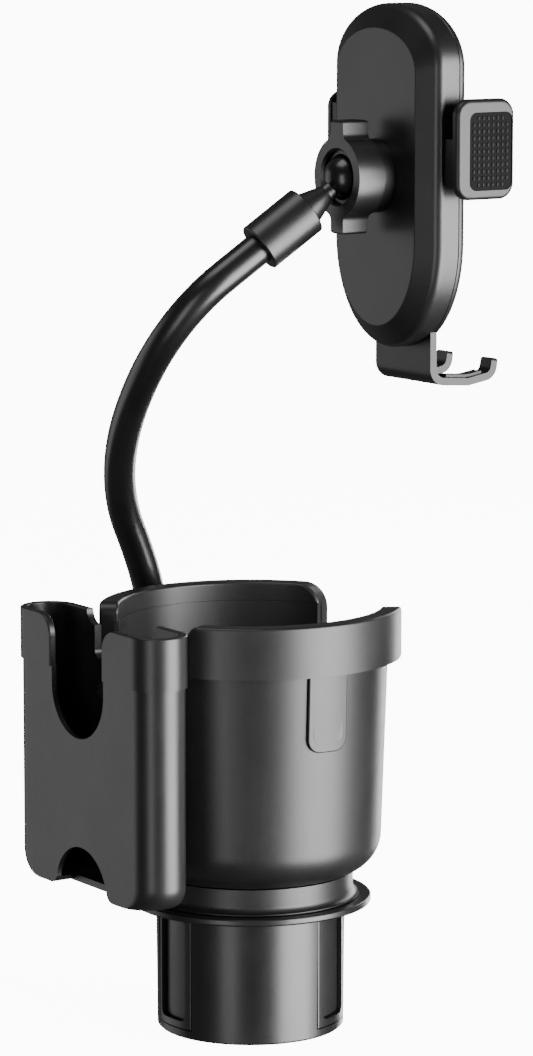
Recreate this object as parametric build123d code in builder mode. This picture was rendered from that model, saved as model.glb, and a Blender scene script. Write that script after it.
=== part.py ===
from build123d import *
import os
from math import cos, sin, tan, pi, radians, degrees, sqrt, atan2

os.makedirs("parts", exist_ok=True)

# ---- driving sizes, mm; z = 0 is the underside of the base, the cup's axis is x = y = 0
BASE_R = 35.2  # retracted base, 70 mm across
BASE_FOOT_R = 34.8
BASE_H = 47.5
FLOOR_T = 3.3
BASE_WALL = 2.4
CLAW_ANGLES = (90, 210, 330)
CLAW_HALF = 10.6  # half width of a claw
CLAW_TRAVEL = 9.0
CAM_TURN = 90.0  # degrees that drive the claws through their travel
PIN_START = 15.0
FLANGE_R = 45.0
FLANGE_TOP = 49.8
NECK_R = 38.3
CUP_BOTTOM = 59.3
CUP_TOP_R = 51.0
WALL = 2.4
COLLAR_LOW = 140.3
COLLAR_TOP = 159.0
COLLAR_R = 56.0
POCKET_HALF = 47.3
POCKET_BACK = 54.0
POCKET_FRONT = 74.0
POCKET_LOW = 59.3
CORNER_R = 9.0
LIP_LOW = 140.0
GOOSE_R = 6.0
CORE_R = 3.7
CRADLE_X = -19.5
BALL = Vector(-19.5, -29.5, 316.5)
BALL_R = 8.5
STEM = Vector(0.1790, 0.7880, -0.5890).normalized()  # from the ball towards the neck
BACK_Y = 42.0  # depth of the cradle's flat back behind the cup's axis
WALL_Y = 47.3
SEAM_Y = 56.0
FRONT_Y = 59.4
ARM_Z = 327.5
ARM_OUT = 41.9  # arm's outer face from the cradle's centre
ARM_TRAVEL = 14.0
FOOT_TRAVEL = 15.0


def save(node, name):
    """Label one finished piece and write its STEP file."""
    node.part.label = name
    export_step(node.part, "parts/" + name + ".step")
    print(name, round(node.part.volume), len(node.part.solids()), node.part.is_valid)


def strip(points, half):
    """Closed outline of a strip that follows a list of points."""
    left = []
    right = []
    last = len(points) - 1
    for i, (x, y) in enumerate(points):
        x0, y0 = points[max(i - 1, 0)]
        x1, y1 = points[min(i + 1, last)]
        size = sqrt((x1 - x0) ** 2 + (y1 - y0) ** 2)
        nx = -(y1 - y0) / size * half
        ny = (x1 - x0) / size * half
        left.append((x + nx, y + ny))
        right.append((x - nx, y - ny))
    Spline(*left)
    Line(left[-1], right[-1])
    Spline(*right[::-1])
    Line(right[0], left[0])


def egg(half, top, bottom, top_rise, bottom_rise):
    """Closed outline with straight sides and a half ellipse at each end."""
    EllipticalCenterArc((CRADLE_X, top - top_rise), half, top_rise, 0, arc_size=180)
    Line((CRADLE_X - half, top - top_rise), (CRADLE_X - half, bottom + bottom_rise))
    EllipticalCenterArc((CRADLE_X, bottom + bottom_rise), half, bottom_rise, 180, arc_size=180)
    Line((CRADLE_X + half, bottom + bottom_rise), (CRADLE_X + half, top - top_rise))


def sector(radius, start, end):
    """Closed wedge outline from the axis to a radius, between two angles in degrees."""
    middle = radians((start + end) / 2)
    a = (radius * cos(radians(start)), radius * sin(radians(start)))
    b = (radius * cos(radians(end)), radius * sin(radians(end)))
    Line((0, 0), a)
    ThreePointArc(a, (radius * cos(middle), radius * sin(middle)), b)
    Line(b, (0, 0))


# ======================= expanding base =======================
# The core: a round floor and wall with three tall windows for the claws.
# Low rails guide the claws and three posts take the flange screws.
with BuildPart() as base_core:
    with BuildSketch(Plane.XZ):
        with BuildLine():
            Polyline((0, 0), (BASE_FOOT_R - 0.8, 0), (BASE_FOOT_R, 0.8), (BASE_R, BASE_H),
                     (BASE_R - BASE_WALL, BASE_H), (BASE_FOOT_R - BASE_WALL, FLOOR_T),
                     (0, FLOOR_T), close=True)
        make_face()
    revolve(axis=Axis.Z)
    for angle in CLAW_ANGLES:
        with BuildSketch(Plane.XY.offset(FLOOR_T)):
            with Locations(Rotation(0, 0, angle) * Pos(33, 0, 0)):
                Rectangle(14, 2 * CLAW_HALF + 0.8)
        extrude(amount=BASE_H, mode=Mode.SUBTRACT)
        with BuildSketch(Plane.XY.offset(FLOOR_T - 0.5)):
            with Locations(Rotation(0, 0, angle) * Pos(19, 6.3, 0),
                           Rotation(0, 0, angle) * Pos(19, -6.3, 0)):
                Rectangle(16, 2)
        extrude(amount=5.5)
    for angle in (30, 150, 270):
        with BuildSketch(Plane.XY.offset(FLOOR_T - 0.5)):
            with Locations(Rotation(0, 0, angle) * Pos(30.9, 0, 0)):
                Circle(2.8)
        extrude(amount=BASE_H - FLOOR_T + 0.5)
        with BuildSketch(Plane.XY.offset(BASE_H)):
            with Locations(Rotation(0, 0, angle) * Pos(30.9, 0, 0)):
                Circle(1.3)
        extrude(amount=-12, mode=Mode.SUBTRACT)
save(base_core, "base_core")

# The flange that rests on the rim of the car's holder and closes the core.
# A low step round its underside centres it on the core.
with BuildPart() as base_flange:
    with BuildSketch(Plane.XY.offset(BASE_H)):
        Circle(FLANGE_R)
        Circle(8.45, mode=Mode.SUBTRACT)
    extrude(amount=FLANGE_TOP - BASE_H)
    with BuildSketch(Plane.XY.offset(BASE_H)):
        Circle(FLANGE_R)
        Circle(BASE_R + 0.3, mode=Mode.SUBTRACT)
    extrude(amount=-0.3)
    fillet(base_flange.edges().filter_by(GeomType.CIRCLE).sort_by(SortBy.RADIUS)[-2:], 0.7)
    for angle in (30, 150, 270):
        with BuildSketch(Plane.XY.offset(FLANGE_TOP)):
            with Locations(Rotation(0, 0, angle) * Pos(30.9, 0, 0)):
                Circle(1.6)
        extrude(amount=-5, mode=Mode.SUBTRACT)
        with BuildSketch(Plane.XY.offset(FLANGE_TOP)):
            with Locations(Rotation(0, 0, angle) * Pos(30.9, 0, 0)):
                Circle(2.9)
        extrude(amount=-1.3, mode=Mode.SUBTRACT)
save(base_flange, "base_flange")

# Three screws that hold the flange on the core's posts.
with BuildPart() as base_screws:
    for angle in (30, 150, 270):
        with BuildSketch(Plane.XY.offset(FLANGE_TOP - 0.15)):
            with Locations(Rotation(0, 0, angle) * Pos(30.9, 0, 0)):
                Circle(2.7)
        extrude(amount=-1.1)
        with BuildSketch(Plane.XY.offset(FLANGE_TOP - 1.0)):
            with Locations(Rotation(0, 0, angle) * Pos(30.9, 0, 0)):
                Circle(1.25)
        extrude(amount=-10)
        with BuildSketch(Plane.XY.offset(FLANGE_TOP - 0.15)):
            with Locations(Rotation(0, 0, angle) * Pos(30.9, 0, 0)):
                Rectangle(3.4, 0.7)
                Rectangle(0.7, 3.4)
        extrude(amount=-0.6, mode=Mode.SUBTRACT)
save(base_screws, "base_screws")

# A thin low-friction ring between the flange and the turning neck.
with BuildPart() as glide_ring:
    with BuildSketch(Plane.XY.offset(FLANGE_TOP)):
        Circle(26.5)
        Circle(11, mode=Mode.SUBTRACT)
    extrude(amount=0.35)
save(glide_ring, "glide_ring")

# The claws: curved faces with a recessed panel, a low guide tongue and a
# high tongue whose pin runs in the cam disc.
for number, angle in enumerate(CLAW_ANGLES):
    tag = "abc"[number]
    with BuildPart() as claw:
        with BuildSketch(Plane.XY.offset(FLOOR_T + 0.5)):
            Circle(BASE_R - 0.25)
            Circle(29.6, mode=Mode.SUBTRACT)
            with Locations((35, 0)):
                Rectangle(20, 2 * CLAW_HALF, mode=Mode.INTERSECT)
        extrude(amount=BASE_H - FLOOR_T - 1.2)
        front = claw.edges().filter_by(Axis.Z).sort_by(Axis.X)[-2:]
        fillet(front, 0.8)
        with BuildSketch(Plane.YZ.offset(40)):
            with Locations((0, (6.3 + 44.6) / 2)):
                RectangleRounded(2 * CLAW_HALF - 5.2, 44.6 - 6.3, 2.8)
        extrude(amount=-8.4, mode=Mode.SUBTRACT)
        with BuildSketch(Plane.XY.offset(FLOOR_T + 0.5)):
            with Locations((20.5, 0)):
                Rectangle(19, 10)
        extrude(amount=4)
        with BuildSketch(Plane.XY.offset(36)):
            with Locations((21.5, 0)):
                Rectangle(17, 8)
        extrude(amount=4.3)
        with BuildSketch(Plane.XY.offset(40)):
            with Locations((PIN_START, 0)):
                Circle(2.0)
        extrude(amount=4.2)
    turned = Rotation(0, 0, angle) * claw.part
    with BuildPart() as claw_set:
        add(turned)
    save(claw_set, "claw_" + tag)
    with BuildPart() as panel:
        with BuildSketch(Plane.YZ.offset(31.65)):
            with Locations((0, (6.3 + 44.6) / 2)):
                RectangleRounded(2 * CLAW_HALF - 6.0, 44.6 - 6.3 - 0.8, 2.4)
        extrude(amount=3)
        with BuildSketch(Plane.XY):
            Circle(BASE_R - 2.1)
        extrude(amount=50, mode=Mode.INTERSECT)
    turned = Rotation(0, 0, angle) * panel.part
    with BuildPart() as panel_set:
        add(turned)
    save(panel_set, "claw_panel_" + tag)

# The cam disc: three spiral slots push the claw pins out as it turns.
with BuildPart() as cam_disc:
    with BuildSketch(Plane.XY.offset(41.0)):
        Circle(27.6)
        Circle(2.6, mode=Mode.SUBTRACT)
        for angle in CLAW_ANGLES:
            path = []
            for step in range(-2, 20):
                turn = CAM_TURN * step / 17
                r = PIN_START + CLAW_TRAVEL * step / 17
                path.append((r * cos(radians(angle - turn)), r * sin(radians(angle - turn))))
            with BuildLine():
                strip(path, 2.2)
            make_face(mode=Mode.SUBTRACT)
    extrude(amount=3.2)
    with BuildSketch(Plane.XY.offset(44.2)):
        RegularPolygon(6.0, 6)
        Circle(2.6, mode=Mode.SUBTRACT)
    extrude(amount=2.2)
save(cam_disc, "cam_disc")

# ======================= cup =======================
# The neck ring turns on the flange; its hub reaches down to the cam disc.
with BuildPart() as neck_ring:
    with BuildSketch(Plane.XZ):
        with BuildLine():
            Polyline((2.6, 46.9), (8.4, 46.9), (8.4, 53.5), (35.3, 53.5), (35.3, 50.2),
                     (NECK_R + 2.4, 50.2), (NECK_R + 2.4, 50.6))
            RadiusArc((NECK_R + 2.4, 50.6), (NECK_R, 53.0), 2.4)
            Polyline((NECK_R, 53.0), (NECK_R, CUP_BOTTOM), (2.6, CUP_BOTTOM), (2.6, 46.9))
        make_face()
    revolve(axis=Axis.Z)
    with BuildSketch(Plane.XY.offset(44.3)):
        Circle(8.4)
        RegularPolygon(6.2, 6, mode=Mode.SUBTRACT)
    extrude(amount=2.7)
    for angle in (45, 135, 225, 315):
        with BuildSketch(Plane.XY.offset(CUP_BOTTOM)):
            with Locations(Rotation(0, 0, angle) * Pos(24, 0, 0)):
                Circle(1.3)
        extrude(amount=-5, mode=Mode.SUBTRACT)
save(neck_ring, "neck_ring")

# The bolt that clamps the cam disc up against the neck's hub.
with BuildPart() as drive_bolt:
    with BuildSketch(Plane.XY.offset(37.6)):
        Circle(5.2)
        RegularPolygon(2.3, 6, mode=Mode.SUBTRACT)
    extrude(amount=3.3)
    with BuildSketch(Plane.XY.offset(39.6)):
        Circle(2.5)
    extrude(amount=17.5)
save(drive_bolt, "drive_bolt")

# The cup: a deep bowl-bottomed shell with a handle slot towards the driver,
# two side windows for the accessory clips, and a low stretch at the pocket.
COLLAR_SPANS = ((-65.5, 56.5), (122.5, 238.5))
with BuildPart() as cup_body:
    with BuildSketch(Plane.XZ):
        with BuildLine():
            Line((0, CUP_BOTTOM), (34.5, CUP_BOTTOM))
            RadiusArc((34.5, CUP_BOTTOM), (48.75, 73.5), -14.3)
            Polyline((48.75, 73.5), (CUP_TOP_R, 140), (CUP_TOP_R, 152), (48.6, 152),
                     (48.6, 140), (46.35, 74))
            RadiusArc((46.35, 74), (34.5, 61.8), 12.2)
            Polyline((34.5, 61.8), (0, 61.8), (0, CUP_BOTTOM))
        make_face()
    revolve(axis=Axis.Z)
    for start, end in ((56, 123), (238, 295)):
        with BuildSketch(Plane.XY.offset(140)):
            with BuildLine():
                sector(60, start, end)
            make_face()
        extrude(amount=20, mode=Mode.SUBTRACT)
    with BuildSketch(Plane.XZ.offset(30)):
        with BuildLine():
            Polyline((-16, 146), (-16, 108), (16, 108), (16, 146), close=True)
        make_face()
        fillet(vertices().group_by(Axis.Y)[0], 11)
    extrude(amount=30, mode=Mode.SUBTRACT)
    for side in (-1, 1):
        with BuildSketch(Plane.YZ.offset(side * 40)):
            with Locations((0, 126)):
                RectangleRounded(13, 22, 3)
        extrude(amount=side * 15, mode=Mode.SUBTRACT)
    for angle in (45, 135, 225, 315):
        with BuildSketch(Plane.XY.offset(62)):
            with Locations(Rotation(0, 0, angle) * Pos(24, 0, 0)):
                Circle(1.6)
        extrude(amount=-5, mode=Mode.SUBTRACT)
    for across in (-12, 12):
        with BuildSketch(Plane.XZ.offset(-40)):
            with Locations((across, 130)):
                Circle(1.6)
        extrude(amount=-15, mode=Mode.SUBTRACT)
save(cup_body, "cup_body")

with BuildPart() as cup_screws:
    for angle in (45, 135, 225, 315):
        with BuildSketch(Plane.XY.offset(61.85)):
            with Locations(Rotation(0, 0, angle) * Pos(24, 0, 0)):
                Circle(2.7)
        extrude(amount=1.0)
        with BuildSketch(Plane.XY.offset(62.0)):
            with Locations(Rotation(0, 0, angle) * Pos(24, 0, 0)):
                Circle(1.25)
        extrude(amount=-7)
save(cup_screws, "cup_screws")

# A soft ribbed mat on the cup's floor, relieved over the screw heads.
with BuildPart() as cup_mat:
    with BuildSketch(Plane.XY.offset(61.85)):
        Circle(33.5)
    extrude(amount=2.2)
    with BuildSketch(Plane.XY.offset(61.85)):
        with PolarLocations(24, 4, start_angle=45):
            Circle(3.1)
    extrude(amount=1.3, mode=Mode.SUBTRACT)
    with BuildSketch(Plane.XY.offset(64.05)):
        for radius in (8, 14, 20, 26, 31):
            Circle(radius)
            Circle(radius - 1.6, mode=Mode.SUBTRACT)
    extrude(amount=0.8)
save(cup_mat, "cup_mat")

# Two thick collar sections clip over the rim, one each side.
for name, (start, end) in zip(("collar_neck_side", "collar_tab_side"), COLLAR_SPANS):
    with BuildPart() as collar:
        with BuildSketch(Plane.XZ):
            with BuildLine():
                Polyline((CUP_TOP_R + 0.05, COLLAR_LOW), (COLLAR_R, COLLAR_LOW),
                         (COLLAR_R, COLLAR_TOP), (48.65, COLLAR_TOP), (48.65, 152.1),
                         (CUP_TOP_R + 0.05, 152.1), close=True)
            make_face()
        revolve(axis=Axis.Z)
        with BuildSketch(Plane.XY.offset(130)):
            with BuildLine():
                sector(80, start, end)
            make_face()
        extrude(amount=40, mode=Mode.INTERSECT)
        ends = collar.edges().filter_by(GeomType.LINE).filter_by(
            lambda e: abs(e.center().Z - COLLAR_TOP) < 0.01)
        fillet([end for end in ends if end.center().Y < 0], 9.5)
        ends = collar.edges().filter_by(GeomType.LINE).filter_by(
            lambda e: abs(e.center().Z - COLLAR_TOP) < 0.01)
        fillet([end for end in ends if end.center().Y > 0], 4.5)
        rims = collar.edges().filter_by(GeomType.CIRCLE).filter_by(
            lambda e: abs(e.center().Z - COLLAR_TOP) < 0.01 and e.length > 20)
        fillet(rims, 1.0)
    save(collar, name)

# A blanking cover clipped in the window on the tab side.
with BuildPart() as slot_cover:
    with BuildSketch(Plane.YZ.offset(-45)):
        with BuildLine():
            Polyline((-8.3, 140), (-8.3, 111.6), (8.3, 111.6), (8.3, 140), close=True)
        make_face()
        fillet(vertices().group_by(Axis.Y)[0], 5)
    extrude(amount=-9)
    with BuildSketch(Plane.XZ):
        with BuildLine():
            Polyline((0, 100), (51.15, 100), (52.3, 142), (0, 142), close=True)
        make_face()
    revolve(axis=Axis.Z, mode=Mode.INTERSECT)
    with BuildSketch(Plane.XZ):
        with BuildLine():
            Polyline((0, 100), (50.0, 100), (51.15, 142), (0, 142), close=True)
        make_face()
    revolve(axis=Axis.Z, mode=Mode.SUBTRACT)
    fillet(slot_cover.faces().sort_by(Axis.X)[0].edges(), 0.5)
    with BuildSketch(Plane.YZ.offset(-48.2)):
        with Locations((0, 126)):
            RectangleRounded(12.4, 21.4, 2.7)
    extrude(amount=-3.2)
    with BuildSketch(Plane.YZ.offset(-47.0)):
        with Locations((0, 117.5), (0, 134.5)):
            Rectangle(6, 2.4)
    extrude(amount=-2.4)
save(slot_cover, "slot_cover")

# ======================= side pocket =======================
def stadium(grow):
    """Pocket plan: a slot shape, grown outward by a small amount."""
    middle = (POCKET_BACK + POCKET_FRONT) / 2
    with Locations((0, middle)):
        SlotOverall(2 * (POCKET_HALF + grow), POCKET_FRONT - POCKET_BACK + 2 * grow)


# The void inside the pocket, its lower corners rounded like the outside.
with BuildPart() as pocket_void:
    with BuildSketch(Plane.XY.offset(POCKET_LOW + 2.5)):
        stadium(-2.0)
    extrude(amount=100)
    with BuildSketch(Plane.XZ.offset(-45)):
        with Locations((0, 120)):
            RectangleRounded(2 * (POCKET_HALF - 2.0), 2 * (120 - POCKET_LOW - 2.5), 7)
    extrude(amount=-40, mode=Mode.INTERSECT)

# The shell: its lowest stretch is built from sections that shorten towards
# the bottom, so both ends curve under.
with BuildPart() as pocket_body:
    for step in range(7):
        turn = radians(15 * step)
        with BuildSketch(Plane.XY.offset(POCKET_LOW + CORNER_R * (1 - cos(turn)))):
            with Locations((0, (POCKET_BACK + POCKET_FRONT) / 2)):
                SlotOverall(2 * (POCKET_HALF - CORNER_R * (1 - sin(turn))), POCKET_FRONT - POCKET_BACK)
    loft()
    with BuildSketch(Plane.XY.offset(POCKET_LOW + CORNER_R)):
        stadium(0)
    extrude(amount=LIP_LOW - POCKET_LOW - CORNER_R)
    add(pocket_void.part, mode=Mode.SUBTRACT)
    with BuildSketch(Plane.XZ.offset(-66)):
        with Locations((1.2, 134)):
            Circle(18)
        with Locations((1.2, 144)):
            Rectangle(36, 20)
    extrude(amount=-20, mode=Mode.SUBTRACT)
    with BuildSketch(Plane.XZ.offset(-66)):
        with Locations((-0.7, 58)):
            Circle(18)
        with Locations((-0.7, POCKET_LOW - 10)):
            Rectangle(70, 20)
        feet = vertices().filter_by(lambda v: abs(v.Y - POCKET_LOW) < 0.01 and abs(v.X) < 20)
        fillet(feet, 4)
    extrude(amount=-20, mode=Mode.SUBTRACT)
    for across in (-12, 12):
        with BuildSketch(Plane.XZ.offset(-50)):
            with Locations((across, 130)):
                Circle(1.6)
        extrude(amount=-8, mode=Mode.SUBTRACT)
save(pocket_body, "pocket_body")

with BuildPart() as pocket_lip:
    with BuildSketch(Plane.XY.offset(LIP_LOW)):
        stadium(0.8)
        stadium(-2.0)
    extrude(amount=COLLAR_TOP - LIP_LOW)
    with BuildSketch(Plane.XY.offset(LIP_LOW)):
        stadium(-2.0)
    extrude(amount=COLLAR_TOP - LIP_LOW, mode=Mode.SUBTRACT)
    with BuildSketch(Plane.XZ.offset(-66)):
        with BuildLine():
            Polyline((-16.8, 138), (-16.8, 151))
            RadiusArc((-16.8, 151), (-24.8, 159), -8)
            Polyline((-24.8, 159), (-24.8, 162), (27.2, 162), (27.2, 159))
            RadiusArc((27.2, 159), (19.2, 151), -8)
            Polyline((19.2, 151), (19.2, 138), (-16.8, 138))
        make_face()
    extrude(amount=-20, mode=Mode.SUBTRACT)
    with BuildSketch(Plane.XZ.offset(-50)):
        with BuildLine():
            Polyline((-18.5, 153.5), (-18.5, 141.5), (18.5, 141.5), (18.5, 153.5))
            RadiusArc((18.5, 153.5), (24, 159), -5.5)
            Polyline((24, 159), (24, 162), (-24, 162), (-24, 159))
            RadiusArc((-24, 159), (-18.5, 153.5), -5.5)
        make_face()
        fillet(vertices().group_by(Axis.Y)[0], 3)
    extrude(amount=-12, mode=Mode.SUBTRACT)
    tops = pocket_lip.faces().group_by(Axis.Z)[-1].edges()
    fillet(tops.filter_by(lambda e: e.length > 12), 0.6)
save(pocket_lip, "pocket_lip")

# A bridge block carries the pocket on the cup's wall.
with BuildPart() as pocket_bracket:
    with BuildSketch(Plane.XY.offset(118)):
        with Locations((0, 50.5)):
            Rectangle(36, 6.9)
    extrude(amount=21.5)
    with BuildSketch(Plane.XZ):
        with BuildLine():
            Polyline((0, 110), (50.2, 110), (51.1, 142), (0, 142), close=True)
        make_face()
    revolve(axis=Axis.Z, mode=Mode.SUBTRACT)
    fillet(pocket_bracket.edges().filter_by(Axis.Y).group_by(Axis.Z)[0], 3)
    for across in (-12, 12):
        with BuildSketch(Plane.XZ.offset(-40)):
            with Locations((across, 130)):
                Circle(1.35)
        extrude(amount=-20, mode=Mode.SUBTRACT)
save(pocket_bracket, "pocket_bracket")

# Two screws from inside the pocket and two from inside the cup.
with BuildPart() as pocket_screws:
    for across in (-12, 12):
        with BuildSketch(Plane.XZ.offset(-57.4)):
            with Locations((across, 130)):
                Circle(2.8)
        extrude(amount=1.35)
        with BuildSketch(Plane.XZ.offset(-57.0)):
            with Locations((across, 130)):
                Circle(1.25)
        extrude(amount=9.6)
save(pocket_screws, "pocket_screws")

# ======================= gooseneck =======================
# Centre line of the neck: smooth curves, each drawn in towards one corner of
# a route, with a straight run into the bracket and another into the sleeve.
SLEEVE_LOW = BALL + STEM * 42.4
TURN_1 = BALL + STEM * 88
TURN_2 = Vector(56.8, 26.9, 204.0)
TURN_3 = Vector(68.5, 0.0, 156.0)
SOCKET_END = Vector(68.5, 0.0, 121.0)
SOCKET_RUN = Vector(68.5, 0.0, 143.5)
BEND_HIGH = (TURN_1 + TURN_2) * 0.5
BEND_LOW = (TURN_2 + TURN_3) * 0.5
STEM_IN = BALL + STEM * 25.5
STEM_RUN = BALL + STEM * 58.7
RUN_2 = (TURN_2 - TURN_1).normalized()
RUN_3 = (TURN_3 - TURN_2).normalized()
JOINT_GAP = 0.35


def stretch(corner_points, start, end):
    """Control points of the stretch of a quadratic curve between two parameters."""
    p0, p1, p2 = corner_points
    picked = []
    for s, t in ((start, start), (start, end), (end, end)):
        picked.append(p0 * ((1 - s) * (1 - t)) + p1 * (s * (1 - t) + t * (1 - s)) + p2 * (s * t))
    return picked


# name, curve, straight run before, straight run after, nest, tip, ahead, core's share of the curve
NECK_RUNS = (
    ("lower", (SOCKET_RUN, TURN_3, BEND_LOW), SOCKET_END, None, None, BEND_LOW, -RUN_3, (0, 0.855)),
    ("middle", (BEND_LOW, TURN_2, BEND_HIGH), None, None, BEND_LOW, BEND_HIGH, -RUN_2, (0.145, 0.905)),
    ("upper", (BEND_HIGH, TURN_1, STEM_RUN), None, STEM_IN, BEND_HIGH, None, None, (0.095, 1)),
)

# Each flexible length is a jacket tube with a round end that nests in a
# hollow end of the next one, so neighbours can lean on each other.
for name, curve, before, after, nest, tip, ahead, share in NECK_RUNS:
    first = before or curve[0]
    start_dir = ((curve[0] if before else curve[1]) - first).normalized()
    with BuildPart() as jacket:
        with BuildLine() as neck_line:
            if before:
                Line(before, curve[0])
            Bezier(*curve)
            if after:
                Line(curve[2], after)
        with BuildSketch(Plane(origin=first, z_dir=start_dir)):
            Circle(GOOSE_R)
        sweep()
        if tip is not None:
            with Locations(Location(tip)):
                Sphere(GOOSE_R)
        if nest is not None:
            with Locations(Location(nest)):
                Sphere(GOOSE_R + JOINT_GAP, mode=Mode.SUBTRACT)
        with BuildSketch(Plane(origin=first - start_dir * 0.01, z_dir=start_dir)):
            Circle(CORE_R + 0.1)
        sweep(path=neck_line.line, mode=Mode.SUBTRACT)
        if tip is not None:
            with Locations(Plane(origin=tip, z_dir=ahead).location):
                Cylinder(CORE_R + 0.1, 16, mode=Mode.SUBTRACT)
    save(jacket, "neck_jacket_" + name)
    core_curve = stretch(curve, *share)
    with BuildPart() as core:
        with BuildLine() as core_line:
            if before:
                Line(before, core_curve[0])
            Bezier(*core_curve)
            if after:
                Line(core_curve[2], after + STEM * 0.5)
        with BuildSketch(Plane(origin=core_line.line @ 0, z_dir=core_line.line % 0)):
            Circle(CORE_R)
        sweep()
    save(core, "neck_core_" + name)

# The bracket clips in the cup's other window and carries the neck's socket.
with BuildPart() as neck_bracket:
    with BuildSketch(Plane.XY.offset(112)):
        with Locations((68.5, 0)):
            Circle(9.6)
    extrude(amount=26)
    fillet(neck_bracket.edges().filter_by(GeomType.CIRCLE), 1.2)
    with BuildSketch(Plane.XY.offset(112)):
        with Locations((57, 0)):
            Rectangle(16, 14)
    extrude(amount=26)
    with BuildSketch(Plane.YZ.offset(45)):
        with Locations((0, 125.7)):
            RectangleRounded(17, 28, 4)
    extrude(amount=7.4)
    with BuildSketch(Plane.XZ):
        with BuildLine():
            Polyline((0, 100), (50.45, 100), (51.2, 142), (0, 142), close=True)
        make_face()
    revolve(axis=Axis.Z, mode=Mode.SUBTRACT)
    with BuildSketch(Plane.YZ.offset(48.2)):
        with Locations((0, 126)):
            RectangleRounded(12.4, 21.4, 2.7)
    extrude(amount=3.6)
    with BuildSketch(Plane.YZ.offset(47.0)):
        with Locations((0, 117.5), (0, 134.5)):
            Rectangle(6, 2.4)
    extrude(amount=2.4)
    with BuildSketch(Plane.XY.offset(120.6)):
        with Locations((68.5, 0)):
            Circle(GOOSE_R + 0.05)
    extrude(amount=30, mode=Mode.SUBTRACT)
    with BuildSketch(Plane.YZ.offset(70)):
        with Locations((0, 129)):
            Circle(2.1)
    extrude(amount=12, mode=Mode.SUBTRACT)
save(neck_bracket, "neck_bracket")

# The set screw that grips the neck in its socket.
with BuildPart() as set_screw:
    with BuildSketch(Plane.YZ.offset(74.6)):
        with Locations((0, 129)):
            Circle(2.0)
    extrude(amount=3.3)
    with BuildSketch(Plane.YZ.offset(77.9)):
        with Locations((0, 129)):
            RegularPolygon(1.1, 6)
    extrude(amount=-1.6, mode=Mode.SUBTRACT)
save(set_screw, "set_screw")

# The round collar at the neck's upper end.
STEM_PLANE = Plane(origin=BALL, z_dir=STEM)
with BuildPart() as sleeve:
    with BuildSketch(STEM_PLANE.offset(19.7)):
        Circle(9.25)
    extrude(amount=22.7)
    fillet(sleeve.edges().filter_by(GeomType.CIRCLE), 0.6)
    with BuildSketch(STEM_PLANE.offset(25.2)):
        Circle(GOOSE_R + 0.05)
    extrude(amount=30, mode=Mode.SUBTRACT)
    with BuildSketch(STEM_PLANE.offset(18)):
        Circle(6.95)
    extrude(amount=5, mode=Mode.SUBTRACT)
save(sleeve, "sleeve")

# The stud: a cone from the sleeve down to a stem that carries the ball.
with BuildPart() as ball_stud:
    with BuildSketch(STEM_PLANE.offset(22.9)):
        Circle(6.85)
    extrude(amount=-2.6)
    with BuildSketch(STEM_PLANE.offset(20.3)):
        Circle(6.85)
    with BuildSketch(STEM_PLANE.offset(10.2)):
        Circle(3.5)
    loft()
    with BuildSketch(STEM_PLANE.offset(7.75)):
        Circle(3.5)
    extrude(amount=3)
    with BuildSketch(STEM_PLANE.offset(-3)):
        Circle(2.4)
    extrude(amount=12)
save(ball_stud, "ball_stud")

# ======================= ball joint =======================
with BuildPart() as ball:
    with Locations(Location(BALL)):
        Sphere(BALL_R)
    with BuildSketch(STEM_PLANE.offset(-3.2)):
        Circle(2.45)
    extrude(amount=15, mode=Mode.SUBTRACT)
    with BuildSketch(STEM_PLANE.offset(7.6)):
        Circle(3.6)
    extrude(amount=3, mode=Mode.SUBTRACT)
save(ball, "ball")

# The spherical liner that the ball swings in, inside a slotted collet.
BALL_PLANE = Plane(origin=(BALL.X, 0, BALL.Z), x_dir=(1, 0, 0), z_dir=(0, -1, 0))
with BuildPart() as socket_liner:
    with BuildSketch(BALL_PLANE.offset(27.0)):
        Circle(10.6)
    extrude(amount=12.4)
    with Locations(Location(BALL)):
        Sphere(BALL_R + 0.05, mode=Mode.SUBTRACT)
    chamfer(socket_liner.edges().group_by(Axis.Y)[-1].sort_by(SortBy.RADIUS)[0], 0.3)
save(socket_liner, "socket_liner")

with BuildPart() as ball_socket:
    with BuildSketch(BALL_PLANE.offset(36.6)):
        Circle(13.5)
    extrude(amount=5.4)
    fillet(ball_socket.edges().group_by(Axis.Y)[-1], 0.5)
    with BuildSketch(BALL_PLANE.offset(27.2)):
        Circle(12.4)
    extrude(amount=12)
    with BuildSketch(BALL_PLANE.offset(27.0)):
        Circle(10.65)
    extrude(amount=12.5, mode=Mode.SUBTRACT)
    with BuildSketch(BALL_PLANE.offset(27.0)):
        Rectangle(30, 1.2)
        Rectangle(1.2, 30)
    extrude(amount=9, mode=Mode.SUBTRACT)
    with BuildSketch(BALL_PLANE.offset(38)):
        Circle(2.05)
    extrude(amount=5, mode=Mode.SUBTRACT)
save(ball_socket, "ball_socket")

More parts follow.
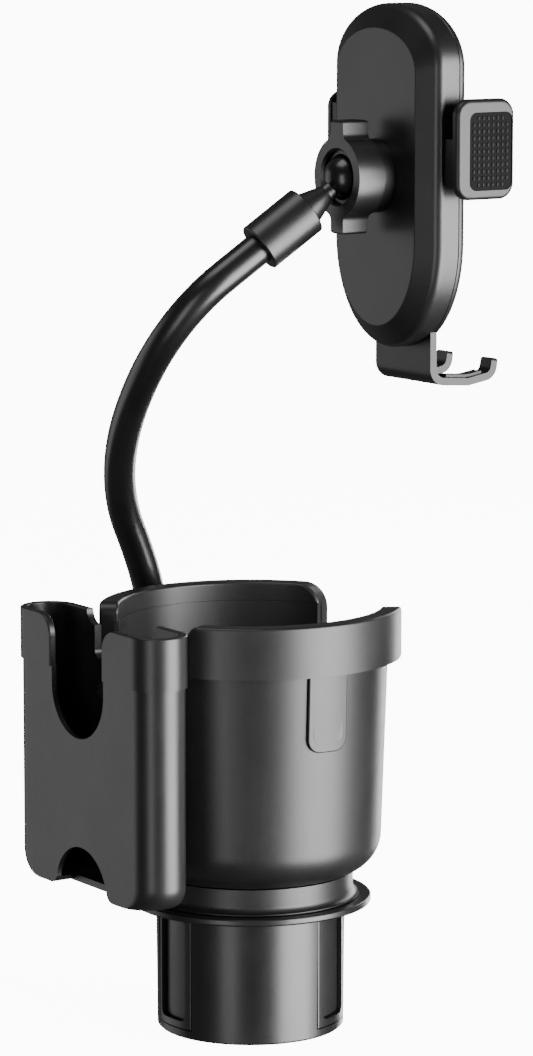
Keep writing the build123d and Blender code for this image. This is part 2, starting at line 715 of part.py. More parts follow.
# The clamp nut with its two finger lugs.
with BuildPart() as clamp_nut:
    with BuildSketch(BALL_PLANE.offset(25.0)):
        Circle(14.65)
    extrude(amount=11.2)
    with BuildSketch(BALL_PLANE.offset(25.0)):
        Rectangle(8, 41.4)
    extrude(amount=11.0)
    roots = clamp_nut.edges().filter_by(Axis.Y).filter_by(
        lambda e: 13 < abs(e.center().Z - BALL.Z) < 15.5)
    fillet(roots, 3.0)
    tips = clamp_nut.edges().filter_by(
        lambda e: abs(e.center().Z - BALL.Z) > 19.5)
    fillet(tips, 1.2)
    with BuildSketch(BALL_PLANE.offset(26.4)):
        Circle(12.45)
    extrude(amount=12, mode=Mode.SUBTRACT)
    with BuildSketch(BALL_PLANE.offset(24)):
        Circle(9.9)
    extrude(amount=5, mode=Mode.SUBTRACT)
    mouth = clamp_nut.edges().filter_by(GeomType.CIRCLE).filter_by(
        lambda e: abs(e.radius - 9.9) < 0.01).sort_by(Axis.Y)[-1]
    chamfer(mouth, 0.8)
save(clamp_nut, "clamp_nut")

# ======================= cradle =======================
FULL = (33.0, 379.2, 253.2, 22.5, 40.0)
FLAT = (24.8, 370.3, 261.6, 15.5, 31.5)
FOOT_HALF = 17.5
POSTS = ((CRADLE_X - 19, 352), (CRADLE_X + 19, 352), (CRADLE_X - 22, 288), (CRADLE_X + 22, 288))
PITCH_R = 6.3
TEETH = 14


def shrunk(outline, by):
    """The same outline drawn in by a distance all round."""
    half, top, bottom, top_rise, bottom_rise = outline
    return half - by, top - by, bottom + by, top_rise - by, bottom_rise - by


# Back shell: a flat back, a broad slope, then the side wall up to the seam.
with BuildPart() as cradle_back:
    with BuildSketch(Plane.XZ.offset(BACK_Y)):
        with BuildLine():
            egg(*FLAT)
        make_face()
    with BuildSketch(Plane.XZ.offset(WALL_Y)):
        with BuildLine():
            egg(*FULL)
        make_face()
    loft()
    with BuildSketch(Plane.XZ.offset(WALL_Y)):
        with BuildLine():
            egg(*FULL)
        make_face()
    extrude(amount=SEAM_Y - WALL_Y)
    shoulder = cradle_back.edges().filter_by(lambda e: abs(e.center().Y + WALL_Y) < 0.01)
    fillet(shoulder, 4.0)
    fillet(cradle_back.edges().group_by(Axis.Y)[-1], 0.8)
    chamfer(cradle_back.edges().group_by(Axis.Y)[0], 0.25)
    with BuildSketch(Plane.XZ.offset(BACK_Y + 2.3)):
        with BuildLine():
            egg(*shrunk(FLAT, 1.0))
        make_face()
    with BuildSketch(Plane.XZ.offset(WALL_Y + 1.2)):
        with BuildLine():
            egg(*shrunk(FULL, 2.2))
        make_face()
    loft(mode=Mode.SUBTRACT)
    with BuildSketch(Plane.XZ.offset(WALL_Y + 1.2)):
        with BuildLine():
            egg(*shrunk(FULL, 2.2))
        make_face()
    extrude(amount=20, mode=Mode.SUBTRACT)
    with BuildSketch(Plane.XZ.offset(BACK_Y + 1.8)):
        with Locations(*POSTS):
            Circle(3.0)
    extrude(amount=SEAM_Y - BACK_Y - 1.9)
    with BuildSketch(Plane.XZ.offset(BACK_Y + 1.8)):
        with Locations((CRADLE_X, ARM_Z)):
            Circle(2.4)
    extrude(amount=12.4)
    with BuildSketch(Plane.XZ.offset(SEAM_Y)):
        with Locations(*POSTS):
            Circle(1.3)
    extrude(amount=-10, mode=Mode.SUBTRACT)
    with BuildSketch(Plane.XZ.offset(BACK_Y - 1)):
        with Locations((CRADLE_X, BALL.Z)):
            Circle(2.2)
    extrude(amount=5, mode=Mode.SUBTRACT)
    with BuildSketch(Plane.XZ.offset(54.5)):
        with Locations((CRADLE_X, 262)):
            Rectangle(2 * FOOT_HALF + 0.7, 30)
    extrude(amount=5, mode=Mode.SUBTRACT)
    with BuildSketch(Plane.XZ.offset(49.2)):
        with Locations((CRADLE_X + 30, ARM_Z + 8.7)):
            Rectangle(16, 6.8)
        with Locations((CRADLE_X - 30, ARM_Z - 8.7)):
            Rectangle(16, 6.8)
    extrude(amount=3.6, mode=Mode.SUBTRACT)
save(cradle_back, "cradle_back")

# Front shell: the plate the phone lies against, with its rounded rim.
with BuildPart() as cradle_front:
    with BuildSketch(Plane.XZ.offset(SEAM_Y)):
        with BuildLine():
            egg(*FULL)
        make_face()
    extrude(amount=FRONT_Y - SEAM_Y)
    fillet(cradle_front.faces().sort_by(Axis.Y)[0].edges(), 2.6)
    chamfer(cradle_front.faces().sort_by(Axis.Y)[-1].edges(), 0.25)
    with BuildSketch(Plane.XZ.offset(SEAM_Y - 0.1)):
        with BuildLine():
            egg(*shrunk(FULL, 3.2))
        make_face()
    extrude(amount=2.0, mode=Mode.SUBTRACT)
    with BuildSketch(Plane.XZ.offset(FRONT_Y - 0.7)):
        with BuildLine():
            egg(*shrunk(FULL, 5.6))
        make_face()
    extrude(amount=3, mode=Mode.SUBTRACT)
    with BuildSketch(Plane.XZ.offset(SEAM_Y - 0.1)):
        with Locations((CRADLE_X, 262)):
            Rectangle(2 * FOOT_HALF + 0.7, 30)
    extrude(amount=2.0, mode=Mode.SUBTRACT)
    with BuildSketch(Plane.XZ.offset(SEAM_Y)):
        with Locations(*POSTS):
            Circle(1.6)
    extrude(amount=8, mode=Mode.SUBTRACT)
save(cradle_front, "cradle_front")

# The soft sheet that the phone rests on.
with BuildPart() as front_pad:
    with BuildSketch(Plane.XZ.offset(FRONT_Y - 0.65)):
        with BuildLine():
            egg(*shrunk(FULL, 5.8))
        make_face()
    extrude(amount=2.0)
    fillet(front_pad.faces().sort_by(Axis.Y)[0].edges(), 0.7)
    with BuildSketch(Plane.XZ.offset(FRONT_Y - 0.7)):
        with Locations(*POSTS):
            Circle(3.0)
    extrude(amount=0.9, mode=Mode.SUBTRACT)
save(front_pad, "front_pad")

# Four screws join the shells, their heads hidden under the sheet.
with BuildPart() as shell_screws:
    with BuildSketch(Plane.XZ.offset(FRONT_Y - 0.68)):
        with Locations(*POSTS):
            Circle(2.6)
    extrude(amount=0.75)
    with BuildSketch(Plane.XZ.offset(FRONT_Y - 0.6)):
        with Locations(*POSTS):
            Circle(1.25)
    extrude(amount=-11)
save(shell_screws, "shell_screws")

# One screw from inside the shell holds the ball socket.
with BuildPart() as socket_screw:
    with BuildSketch(Plane.XZ.offset(BACK_Y + 2.35)):
        with Locations((CRADLE_X, BALL.Z)):
            Circle(3.8)
    extrude(amount=2.2)
    with BuildSketch(Plane.XZ.offset(BACK_Y + 3)):
        with Locations((CRADLE_X, BALL.Z)):
            Circle(2.0)
    extrude(amount=-5.3)
save(socket_screw, "socket_screw")

# The pinion: an involute gear that keeps both arms level with each other.
MODULE = 2 * PITCH_R / TEETH
BASE_CIRCLE = PITCH_R * cos(radians(20))
TIP_R = PITCH_R + 0.75
ROOT_R = PITCH_R - 1.05
PLAY = 0.12
half_tooth = pi / (2 * TEETH) - PLAY / PITCH_R
involute = tan(radians(20)) - radians(20)
with BuildPart() as pinion:
    with BuildSketch(Plane.XZ.offset(49.7)):
        with Locations((CRADLE_X, ARM_Z)):
            Circle(ROOT_R)
    extrude(amount=2.8)
    with BuildSketch(Plane.XZ.offset(49.7)):
        for tooth in range(TEETH):
            centre = radians(90 + 360 * tooth / TEETH)
            flank = []
            for step in range(7):
                r = BASE_CIRCLE + (TIP_R - BASE_CIRCLE) * step / 6
                roll = sqrt(max((r / BASE_CIRCLE) ** 2 - 1, 0))
                spread = half_tooth + involute - (roll - atan2(roll, 1))
                flank.append((r, spread))
            outline = [(ROOT_R - 0.4, flank[0][1])] + flank
            points = [(CRADLE_X + r * cos(centre + s), ARM_Z + r * sin(centre + s)) for r, s in outline]
            points += [(CRADLE_X + r * cos(centre - s), ARM_Z + r * sin(centre - s))
                       for r, s in outline[::-1]]
            with BuildLine():
                Polyline(*points, close=True)
            make_face()
    extrude(amount=2.8)
    with BuildSketch(Plane.XZ.offset(49.7)):
        with Locations((CRADLE_X, ARM_Z)):
            Circle(2.45)
    extrude(amount=2.8, mode=Mode.SUBTRACT)
save(pinion, "pinion")

# A flat clock spring round the pinion's post draws the arms in.
with BuildPart() as arm_spring:
    with BuildSketch(Plane.XZ.offset(52.9)):
        coil = []
        for step in range(61):
            turn = 2 * pi * 2.5 * step / 60
            r = 2.9 + 4.6 * step / 60
            coil.append((CRADLE_X + r * cos(turn), ARM_Z + r * sin(turn)))
        with BuildLine():
            strip(coil, 0.2)
        make_face()
    extrude(amount=1.3)
save(arm_spring, "arm_spring")

# The arms: curved plates on racks that run through the shell's side walls.
RACK_PITCH = pi * MODULE
for name, side in (("left", 1), ("right", -1)):
    outer = CRADLE_X + side * ARM_OUT
    with BuildPart() as arm:
        with BuildSketch(Plane.YZ.offset(outer)):
            with Locations((-61.55, ARM_Z)):
                RectangleRounded(25.7, 36.3, 6.0)
        extrude(amount=-side * 3.0)
        edge = arm.faces().sort_by(Axis.X)[-1 if side > 0 else 0].edges()
        fillet(edge, 1.7)
        with BuildSketch(Plane.YZ.offset(outer)):
            with Locations((-63.6, 326.8)):
                RectangleRounded(18.9, 28.2, 3.0)
        extrude(amount=-side * 1.4, mode=Mode.SUBTRACT)
        with BuildSketch(Plane.XY.offset(ARM_Z + (3.2 if side < 0 else -13.6) - 16.7 * (side < 0))):
            with Locations((outer - side * 5.6, -52.4)):
                Rectangle(5.4, 6.4)
        extrude(amount=17.2 if side < 0 else 27.4)
        low = ARM_Z + side * 7.4 if side > 0 else ARM_Z - 11.8
        with BuildSketch(Plane.XZ.offset(49.5)):
            length = ARM_OUT - 2.0 + 20.0
            with Locations((CRADLE_X + side * (ARM_OUT - 2.0) - side * length / 2, low + 2.2)):
                Rectangle(length, 4.4)
        extrude(amount=3.0)
        with BuildSketch(Plane.XZ.offset(49.5)):
            for tooth in range(-7, 4):
                mid = CRADLE_X + side * (tooth + 0.5) * RACK_PITCH
                pitch_z = ARM_Z + side * PITCH_R
                root_half = RACK_PITCH / 4 - PLAY + 1.15 * tan(radians(20))
                tip_half = RACK_PITCH / 4 - PLAY - 0.7 * tan(radians(20))
                with BuildLine():
                    Polyline((mid - root_half, pitch_z + side * 1.15),
                             (mid + root_half, pitch_z + side * 1.15),
                             (mid + tip_half, pitch_z - side * 0.7),
                             (mid - tip_half, pitch_z - side * 0.7), close=True)
                make_face()
        extrude(amount=3.0)
    save(arm, "arm_" + name)
    with BuildPart() as inset:
        with BuildSketch(Plane.YZ.offset(outer - side * 1.35)):
            with Locations((-63.6, 326.8)):
                RectangleRounded(18.7, 28.0, 2.9)
        extrude(amount=side * 0.95)
    save(inset, "arm_inset_" + name)
    with BuildPart() as grip:
        with BuildSketch(Plane.YZ.offset(outer - side * 3.05)):
            with Locations((-65.2, ARM_Z)):
                RectangleRounded(16.6, 33.5, 3.0)
        extrude(amount=-side * 2.2)
        fillet(grip.faces().sort_by(Axis.X)[0 if side > 0 else -1].edges(), 0.8)
    save(grip, "arm_pad_" + name)

# The foot: a plate that slides out of the shell and turns into two hooks.
with BuildPart() as foot:
    with BuildSketch(Plane.YZ.offset(CRADLE_X - FOOT_HALF)):
        with BuildLine() as bent:
            FilletPolyline((-56.2, 291), (-56.2, 241.4), (-62.0, 241.0), radius=5)
        trace(line_width=2.8)
    extrude(amount=2 * FOOT_HALF)
    for across in (CRADLE_X - FOOT_HALF, CRADLE_X + FOOT_HALF - 7):
        with BuildSketch(Plane.YZ.offset(across)):
            with BuildLine() as hook:
                FilletPolyline((-61.9, 241.0), (-72, 240.3), (-83.2, 242.2), (-84.2, 248.4), radius=4.2)
            trace(line_width=2.8)
        extrude(amount=7)
    ends = foot.edges().filter_by(lambda e: e.center().Z > 246 and e.center().Y < -80 and e.length < 3)
    fillet(ends, 1.3)
save(foot, "foot")

with BuildPart() as foot_pads:
    for across in (CRADLE_X - FOOT_HALF + 1, CRADLE_X + FOOT_HALF - 6):
        with BuildSketch(Plane.YZ.offset(across)):
            with BuildLine() as sole:
                FilletPolyline((-62.6, 243.05), (-72, 242.4), (-78.6, 243.5), radius=20)
            trace(line_width=1.0)
        extrude(amount=5)
save(foot_pads, "foot_pads")
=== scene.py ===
import math

import bmesh
import bpy
from mathutils import Matrix, Vector


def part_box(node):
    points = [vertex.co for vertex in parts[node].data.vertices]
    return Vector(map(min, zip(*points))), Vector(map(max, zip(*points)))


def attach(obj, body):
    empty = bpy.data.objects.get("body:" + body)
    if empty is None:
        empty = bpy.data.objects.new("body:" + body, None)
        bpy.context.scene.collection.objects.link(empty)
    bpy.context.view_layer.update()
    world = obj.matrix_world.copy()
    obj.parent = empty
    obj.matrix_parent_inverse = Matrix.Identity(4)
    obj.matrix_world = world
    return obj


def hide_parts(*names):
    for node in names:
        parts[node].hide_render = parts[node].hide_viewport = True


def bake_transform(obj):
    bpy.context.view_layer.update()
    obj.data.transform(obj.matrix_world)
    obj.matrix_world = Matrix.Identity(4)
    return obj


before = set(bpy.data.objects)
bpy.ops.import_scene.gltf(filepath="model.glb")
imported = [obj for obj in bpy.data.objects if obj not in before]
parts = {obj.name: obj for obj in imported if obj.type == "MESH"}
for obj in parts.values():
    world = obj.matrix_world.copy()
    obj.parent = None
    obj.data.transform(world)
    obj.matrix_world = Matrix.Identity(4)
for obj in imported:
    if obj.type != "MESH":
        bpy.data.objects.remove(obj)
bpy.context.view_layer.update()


# ---- Expanding base
# Core, flange and three sliding claws are injection-moulded black ABS. The
# mould was spark-eroded, which leaves a fine even grain, and handling leaves
# soft patches that are a little shinier than the rest.
def linear(code):
    """A hex sRGB colour as the linear RGBA that a socket takes."""
    channels = [int(code[i:i + 2], 16) / 255 for i in (1, 3, 5)]
    return [c / 12.92 if c <= 0.04045 else ((c + 0.055) / 1.055) ** 2.4 for c in channels] + [1.0]


def add(material, kind, settings=None, links=None, **attributes):
    """Adds one node to a material, with its settings and its incoming links."""
    made = material.node_tree.nodes.new("ShaderNode" + kind)
    for name, value in attributes.items():
        setattr(made, name, value)
    for name, value in (settings or {}).items():
        made.inputs[name].default_value = value
    for name, source in (links or {}).items():
        material.node_tree.links.new(source, made.inputs[name])
    return made


def empty_material(name):
    """A material with no nodes yet."""
    material = bpy.data.materials.new(name)
    material.use_nodes = True
    material.node_tree.nodes.clear()
    return material


HANDLED_MM = 28
RUB_MM = 1.6


def moulded(name, deep, pale, gloss, grain_mm, grain_depth_mm, ior=1.52, shine=0.5):
    """A moulded skin: two close colours in soft patches, worn roughness, rubs and a fine grain."""
    material = empty_material(name)
    place = add(material, "TexCoord").outputs["Object"]
    patches = add(material, "TexNoise", {"Scale": 1000 / HANDLED_MM, "Detail": 4.0, "Roughness": 0.6},
                  {"Vector": place})
    stretched = add(material, "Mapping", {"Scale": (1.0, 1.0, 0.06)}, {"Vector": place})
    rubs = add(material, "TexNoise", {"Scale": 1000 / RUB_MM, "Detail": 3.0, "Roughness": 0.7},
               {"Vector": stretched.outputs["Vector"]})
    grain = add(material, "TexNoise", {"Scale": 1000 / grain_mm, "Detail": 2.0, "Roughness": 0.6},
                {"Vector": place})
    tone = add(material, "ValToRGB", None, {"Fac": patches.outputs["Fac"]})
    tone.color_ramp.elements[0].position = 0.35
    tone.color_ramp.elements[0].color = linear(deep)
    tone.color_ramp.elements[1].position = 0.68
    tone.color_ramp.elements[1].color = linear(pale)
    handled = add(material, "MapRange", {"From Min": 0.32, "From Max": 0.68, "To Min": gloss - 0.015,
                                         "To Max": gloss + 0.02}, {"Value": patches.outputs["Fac"]})
    rubbed = add(material, "MapRange", {"From Min": 0.35, "From Max": 0.75, "To Min": -0.006,
                                        "To Max": 0.012}, {"Value": rubs.outputs["Fac"]})
    rough = add(material, "Math", None, {0: handled.outputs["Result"], 1: rubbed.outputs["Result"]},
                operation="ADD")
    bump = add(material, "Bump", {"Strength": 1.0, "Distance": grain_depth_mm / 1000},
               {"Height": grain.outputs["Fac"]})
    shader = add(material, "BsdfPrincipled", {"IOR": ior, "Specular IOR Level": shine},
                 {"Base Color": tone.outputs["Color"], "Roughness": rough.outputs["Value"],
                  "Normal": bump.outputs["Normal"]})
    add(material, "OutputMaterial", None, {"Surface": shader.outputs["BSDF"]})
    return material


def finish_cad(material, *names):
    """Gives CAD pieces a finish."""
    for name in names:
        piece = parts[name]
        piece.data.materials.clear()
        piece.data.materials.append(material)


base_abs = moulded("moulded black ABS, polished satin", "#0c0c0d", "#121213", 0.33, 0.35, 0.002)
finish_cad(base_abs, "base_core", "base_flange", "claw_a", "claw_b", "claw_c")

# The claws' panels are silicone rubber with a soft pebbled face, duller than
# the ABS round them. They lie 1.85 mm below the claws' outer face.
grip_rubber = moulded("overmoulded silicone rubber, pebbled", "#0b0b0b", "#101010", 0.42, 0.7, 0.02)
finish_cad(grip_rubber, "claw_panel_a", "claw_panel_b", "claw_panel_c")

# Inside the base: a natural acetal cam disc and glide ring, slightly waxy and
# off white, and zinc-plated steel fasteners with the marks of turning.
CLOUD_MM = 4


def plated_steel(name, light, dark, gloss, lathe_mm):
    """Bare or plated steel: turning marks across the axis and faint clouding."""
    material = empty_material(name)
    place = add(material, "TexCoord").outputs["Object"]
    squeezed = add(material, "Mapping", {"Scale": (0.05, 0.05, 1.0)}, {"Vector": place})
    marks = add(material, "TexNoise", {"Scale": 1000 / lathe_mm, "Detail": 3.0, "Roughness": 0.65},
                {"Vector": squeezed.outputs["Vector"]})
    clouds = add(material, "TexNoise", {"Scale": 1000 / CLOUD_MM, "Detail": 4.0}, {"Vector": place})
    tone = add(material, "ValToRGB", None, {"Fac": clouds.outputs["Fac"]})
    tone.color_ramp.elements[0].position = 0.35
    tone.color_ramp.elements[0].color = linear(dark)
    tone.color_ramp.elements[1].position = 0.65
    tone.color_ramp.elements[1].color = linear(light)
    rough = add(material, "MapRange", {"To Min": gloss - 0.08, "To Max": gloss + 0.1},
                {"Value": marks.outputs["Fac"]})
    bump = add(material, "Bump", {"Strength": 0.6, "Distance": 0.00001}, {"Height": marks.outputs["Fac"]})
    shader = add(material, "BsdfPrincipled", {"Metallic": 1.0},
                 {"Base Color": tone.outputs["Color"], "Roughness": rough.outputs["Result"],
                  "Normal": bump.outputs["Normal"]})
    add(material, "OutputMaterial", None, {"Surface": shader.outputs["BSDF"]})
    return material


acetal = moulded("natural acetal, moulded", "#c6c2b2", "#d5d1c3", 0.34, 0.6, 0.002, ior=1.48)
zinc_steel = plated_steel("zinc-plated steel, turned", "#c3c4c6", "#a9abae", 0.3, 0.25)
finish_cad(acetal, "cam_disc", "glide_ring")
finish_cad(zinc_steel, "base_screws", "drive_bolt")

# ---- Cup
# Neck ring, cup wall, clip-on collars and window cover are black ABS with a
# satin skin. The parts are moulded apart and snapped or screwed together.
cup_abs = moulded("moulded black ABS, satin", "#0c0c0d", "#121213", 0.41, 0.3, 0.003)
finish_cad(cup_abs, "cup_body", "neck_ring", "collar_neck_side", "collar_tab_side", "slot_cover",
           "pocket_bracket", "neck_bracket")
finish_cad(zinc_steel, "cup_screws", "set_screw")

# The mat on the cup's floor is soft thermoplastic rubber with moulded ribs,
# matte and slightly uneven in tone.
mat_rubber = moulded("thermoplastic rubber, matte", "#111111", "#1a1a1a", 0.62, 0.5, 0.015)
finish_cad(mat_rubber, "cup_mat")

# ---- Side pocket
# A thin-walled ABS box with a separate lip. Both carry a finer chemical-etch
# texture, so they look flatter than the cup.
pocket_abs = moulded("moulded black ABS, fine etch", "#0d0d0e", "#131314", 0.39, 0.28, 0.005)
finish_cad(pocket_abs, "pocket_body", "pocket_lip")
finish_cad(zinc_steel, "pocket_screws")

# ---- Bendable neck
# A smooth PVC sleeve is shrunk over spiral-wound steel. It is one tube from
# the bracket to the collar, drawn as two that meet in the stiff middle.
BALL = Vector((-0.0195, -0.0295, 0.3165))
STEM = Vector((0.1790, 0.7880, -0.5890)).normalized()
SLEEVE_TOP = BALL + STEM * 0.0256
STRAIGHT_TOP = BALL + STEM * 0.0294
HIGH_TURN = BALL + STEM * 0.088
MIDDLE_TURN = Vector((0.0568, 0.0269, 0.2040))
LOW_TURN = Vector((0.0685, 0.0, 0.1560))
STRAIGHT_FOOT = Vector((0.0685, 0.0, 0.1310))
SLEEVE_FOOT = Vector((0.0685, 0.0, 0.1212))
HIGH_BEND = (HIGH_TURN + MIDDLE_TURN) / 2
LOW_BEND = (MIDDLE_TURN + LOW_TURN) / 2
NECK_MIDDLE = (HIGH_BEND + LOW_BEND) / 4 + MIDDLE_TURN / 2
SLEEVE_RADIUS = 0.006
JOINED_WITHIN = 0.00001
CUT_WITHIN = 0.000001
SHARP_ANGLE = math.radians(40)

neck_route = [SLEEVE_FOOT, STRAIGHT_FOOT, LOW_TURN, MIDDLE_TURN, HIGH_TURN, STRAIGHT_TOP, SLEEVE_TOP]
neck_line = bpy.data.curves.new("neck line", "CURVE")
neck_line.dimensions = "3D"
neck_line.bevel_depth = SLEEVE_RADIUS
neck_line.bevel_resolution = 10
neck_line.resolution_u = 20
spline = neck_line.splines.new("NURBS")
spline.points.add(len(neck_route) - 1)
for point, place in zip(spline.points, neck_route):
    point.co = (*place, 1.0)
spline.order_u = 3
spline.use_endpoint_u = True
spline.use_smooth = True
neck_object = bpy.data.objects.new("neck line", neck_line)
neck_tube = bpy.data.meshes.new_from_object(neck_object)
bpy.data.objects.remove(neck_object)


def finished_piece(name, shape, material):
    """An object at the origin from a bmesh, with its normals turned outwards."""
    bmesh.ops.recalc_face_normals(shape, faces=shape.faces)
    mesh = bpy.data.meshes.new(name)
    shape.to_mesh(mesh)
    shape.free()
    for face in mesh.polygons:
        face.use_smooth = True
    mesh.set_sharp_from_angle(angle=SHARP_ANGLE)
    mesh.materials.append(material)
    piece = bpy.data.objects.new(name, mesh)
    bpy.context.collection.objects.link(piece)
    return piece


def neck_half(name, keep_low):
    """One half of the sleeve, cut square across the middle turn and capped."""
    shape = bmesh.new()
    shape.from_mesh(neck_tube)
    bmesh.ops.remove_doubles(shape, verts=shape.verts, dist=JOINED_WITHIN)
    bmesh.ops.bisect_plane(shape, geom=shape.verts[:] + shape.edges[:] + shape.faces[:],
                           dist=CUT_WITHIN, plane_co=NECK_MIDDLE, plane_no=LOW_BEND - HIGH_BEND,
                           clear_inner=keep_low, clear_outer=not keep_low)
    ends = [edge for edge in shape.edges if edge.is_boundary]
    bmesh.ops.holes_fill(shape, edges=ends, sides=0)
    return finished_piece(name, shape, neck_pvc)


neck_pvc = moulded("smooth black PVC sleeve", "#090909", "#0e0e0f", 0.31, 0.5, 0.002, ior=1.53)
low_sleeve = neck_half("neck_sleeve_low", True)
high_sleeve = neck_half("neck_sleeve_high", False)
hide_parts("neck_jacket_lower", "neck_jacket_middle")
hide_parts("neck_jacket_upper")
for sleeve, bend, turn, below, above in (
        (low_sleeve, LOW_BEND, LOW_TURN, "cup", "neck_middle"),
        (high_sleeve, HIGH_BEND, MIDDLE_TURN, "neck_middle", "neck_upper")):
    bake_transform(sleeve)

# The wound core is bare spring steel, darker and smoother than the screws.
spring_steel = plated_steel("spring steel, drawn", "#9c9da0", "#7e8084", 0.26, 0.4)
finish_cad(spring_steel, "neck_core_lower", "neck_core_middle", "neck_core_upper")

# ---- Ball joint
# Sleeve, stud, ball, collet and clamp nut are glass-filled nylon moulded
# black; the ball is tumbled until it shines. The liner is black acetal.
nylon = moulded("glass-filled nylon, satin", "#0b0b0b", "#111112", 0.36, 0.4, 0.004, ior=1.53)
ball_nylon = moulded("glass-filled nylon, tumbled smooth", "#080808", "#0c0c0c", 0.27, 0.5, 0.001, ior=1.53)
liner_acetal = moulded("black acetal, moulded", "#060606", "#0a0a0a", 0.36, 0.5, 0.002, ior=1.48)
finish_cad(nylon, "sleeve", "ball_stud", "ball_socket", "clamp_nut")
finish_cad(ball_nylon, "ball")
finish_cad(liner_acetal, "socket_liner")

# ---- Cradle
# Two ABS shells screwed together, satin black, with a silicone sheet on the
# front and a gear, a flat spring and screws inside.
cradle_abs = moulded("moulded black ABS, cradle satin", "#0d0d0e", "#131314", 0.37, 0.28, 0.004)
finish_cad(cradle_abs, "cradle_back", "cradle_front")
finish_cad(zinc_steel, "shell_screws", "socket_screw")
finish_cad(acetal, "pinion")
finish_cad(spring_steel, "arm_spring")

# The phone's sheet and pads are silicone rubber, matte, with a leather-like
# pebble that keeps the phone from sliding.
pad_rubber = moulded("silicone rubber, fine pebble", "#101010", "#171717", 0.55, 0.8, 0.04)
finish_cad(pad_rubber, "front_pad", "arm_pad_left", "arm_pad_right", "foot_pads")

# ---- Clamping arms
# Each arm is a black ABS plate with rounded edges. A knurled rubber inset is glued in the recess on its
# outer face: rows of raised pips on a thin sheet.
# The pips have more shine than the sheet and are painted a lighter grey as a painted highlight. The sliding
# foot is the same ABS.
arm_abs = moulded("moulded black ABS, arm satin", "#0d0d0e", "#131314", 0.4, 0.28, 0.004, shine=0.38)
finish_cad(arm_abs, "arm_left", "arm_right", "foot")
inset_rubber = moulded("rubber inset, matte sheet", "#0b0b0b", "#111111", 0.5, 0.4, 0.004, shine=0.03)
# The pips' lighter colour is a painted highlight; their higher specular level is real shine.
pip_rubber_painted_highlight = moulded("rubber inset, pips with shine and painted highlight", "#0e0e0e", "#141414", 0.42, 0.4, 0.002, shine=0.12)
INSET_CORNER = 0.0029
INSET_MARGIN = 0.0006
PIP_PITCH_ACROSS = 0.0021
PIP_PITCH_UP = 0.0024
PIP_WIDE = 0.0010
PIP_TALL = 0.0014
PIP_RISE = 0.0004
PIP_BEVEL = PIP_RISE * 0.7


def knurled_inset(side, node, body):
    """A rubber sheet with rows of raised pips on its outer face."""
    low, high = (Vector(corner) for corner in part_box(node))
    middle = (low + high) / 2
    thick, wide, tall = high - low
    shape = bmesh.new()
    placed = Matrix.Translation(middle) @ Matrix.Diagonal((thick, wide, tall, 1))
    bmesh.ops.create_cube(shape, size=1, matrix=placed)
    along = [edge for edge in shape.edges
             if abs((edge.verts[0].co - edge.verts[1].co).normalized().x) > 0.9]
    bmesh.ops.bevel(shape, geom=along, offset=INSET_CORNER, segments=8, profile=0.5,
                    affect="EDGES", material=-1)
    outer_x = high.x if side > 0 else low.x
    columns = int((wide - INSET_MARGIN) / PIP_PITCH_ACROSS)
    rows = int((tall - INSET_MARGIN) / PIP_PITCH_UP)
    for column in range(columns):
        for row in range(rows):
            y = middle.y + (column - (columns - 1) / 2) * PIP_PITCH_ACROSS
            z = middle.z + (row - (rows - 1) / 2) * PIP_PITCH_UP
            in_corner = (abs(y - middle.y) > wide / 2 - INSET_CORNER * 0.8
                         and abs(z - middle.z) > tall / 2 - INSET_CORNER * 0.8)
            if in_corner:
                continue
            spot = (Matrix.Translation((outer_x, y, z))
                    @ Matrix.Diagonal((PIP_RISE * 2, PIP_WIDE, PIP_TALL, 1)))
            pip = bmesh.ops.create_cube(shape, size=1, matrix=spot)
            edges = dict.fromkeys(edge for vert in pip["verts"] for edge in vert.link_edges)
            crown = [edge for edge in edges
                     if all((vert.co.x - outer_x) * side > 0 for vert in edge.verts)]
            # Every face of each pip takes the second material, painted lighter as a painted highlight.
            for vert in pip["verts"]:
                for face in vert.link_faces:
                    face.material_index = 1
            bmesh.ops.bevel(shape, geom=crown, offset=PIP_BEVEL, segments=2, profile=0.5,
                            affect="EDGES", material=-1)
    piece = finished_piece(node.replace("inset", "knurled"), shape, inset_rubber)
    piece.data.materials.append(pip_rubber_painted_highlight)
    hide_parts(node)
    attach(piece, body)


knurled_inset(1, "arm_inset_left", "arm_left")
knurled_inset(-1, "arm_inset_right", "arm_right")

# ---- Floor and lights
# A pale paper floor and a white wall for the eye only. On the object both
# count as a dim room, so its black plastic shows the softboxes and no more.
FLOOR_HALF = 40
FLOOR_GLOW = 11.0
WALL_GLOW = 15.0
ROOM_GLOW = 0.12

floor_shape = bmesh.new()
bmesh.ops.create_grid(floor_shape, x_segments=1, y_segments=1, size=FLOOR_HALF)
paper = empty_material("pale paper sweep")
fibres = add(paper, "TexNoise", {"Scale": 1000 / 3, "Detail": 3.0},
             {"Vector": add(paper, "TexCoord").outputs["Object"]})
tooth = add(paper, "Bump", {"Strength": 0.2, "Distance": 0.0001}, {"Height": fibres.outputs["Fac"]})
sheet = add(paper, "BsdfPrincipled", {"Base Color": linear("#f0f0f0"), "Roughness": 0.9,
                                      "Emission Color": linear("#ffffff"), "Emission Strength": FLOOR_GLOW},
            {"Normal": tooth.outputs["Normal"]})
add(paper, "OutputMaterial", None, {"Surface": sheet.outputs["BSDF"]})
floor = finished_piece("floor", floor_shape, paper)
floor.visible_diffuse = False
floor.visible_glossy = False
floor.visible_transmission = False
floor.visible_shadow = False

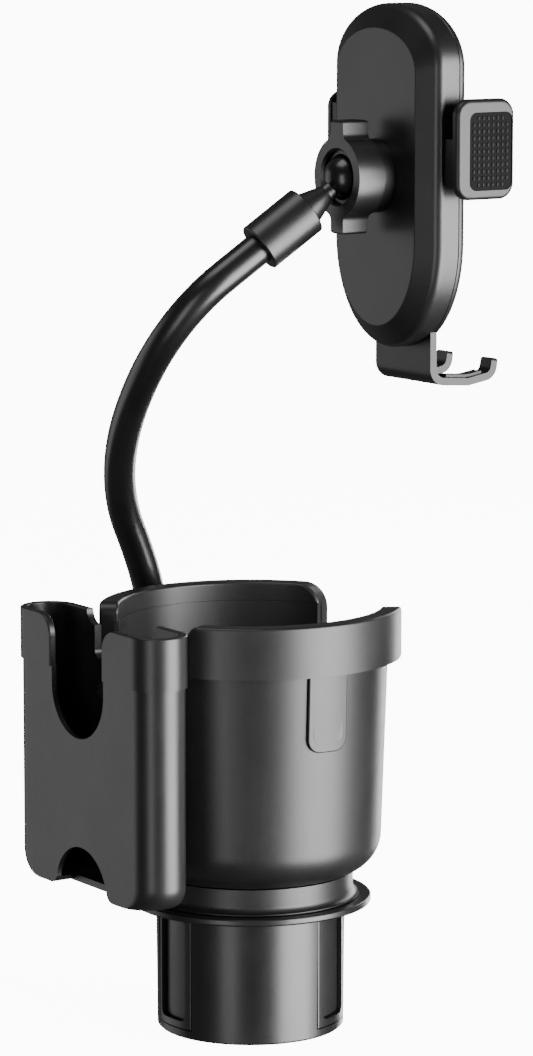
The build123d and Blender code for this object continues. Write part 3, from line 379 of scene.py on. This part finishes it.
world = bpy.data.worlds.new("studio")
world.use_nodes = True
room = world.node_tree.nodes["Background"]
room.inputs["Color"].default_value = linear("#ffffff")
wall = world.node_tree.nodes.new("ShaderNodeMapRange")
wall.inputs["To Min"].default_value = ROOM_GLOW
wall.inputs["To Max"].default_value = WALL_GLOW
rays = world.node_tree.nodes.new("ShaderNodeLightPath")
world.node_tree.links.new(rays.outputs["Is Camera Ray"], wall.inputs["Value"])
world.node_tree.links.new(wall.outputs["Result"], room.inputs["Strength"])
bpy.context.scene.world = world

TOWARDS_CAMERA = Vector((-0.8339, 0.5519, 0))
TO_THE_RIGHT = Vector((-0.5519, -0.8339, 0))
MIDDLE = Vector((0, 0, 0.2))


def softbox(name, angle, height, distance, width, tall, power):
    """A rectangular light aimed at the object, so many degrees right of the camera."""
    data = bpy.data.lights.new(name, "AREA")
    data.shape = "RECTANGLE"
    data.size = width
    data.size_y = tall
    data.energy = power
    lamp = bpy.data.objects.new(name, data)
    turn = math.radians(angle)
    lamp.location = MIDDLE + (TOWARDS_CAMERA * math.cos(turn) + TO_THE_RIGHT * math.sin(turn)) * distance
    lamp.location.z = height
    lamp.rotation_euler = (lamp.location - MIDDLE).to_track_quat("Z", "Y").to_euler()
    lamp.visible_camera = False
    bpy.context.collection.objects.link(lamp)


softbox("softbox right", 59, 0.1, 1.2, 0.95, 1.3, 74)
softbox("strip left", -25, 0.05, 1.6, 0.5, 1.2, 8)
softbox("softbox far left", -113, 0.1, 1.5, 1.1, 1.3, 5)
softbox("rim right", 152, 0.2, 1.4, 0.3, 1.2, 12)
softbox("top light", -60, 1.7, 0.5, 0.9, 0.9, 10)

# ---- Camera
CAMERA_TILT = 8.581
CAMERA_TURN = -123.5

camera_data = bpy.data.cameras.new("camera")
camera_data.lens = 147.02
camera_data.sensor_width = 36
camera_data.clip_end = 200
camera = bpy.data.objects.new("camera", camera_data)
camera.location = (-1.3145, 0.8628, 0.4244)
camera.rotation_euler = (math.radians(90 - CAMERA_TILT), 0, math.radians(CAMERA_TURN))
bpy.context.collection.objects.link(camera)
bpy.context.scene.camera = camera
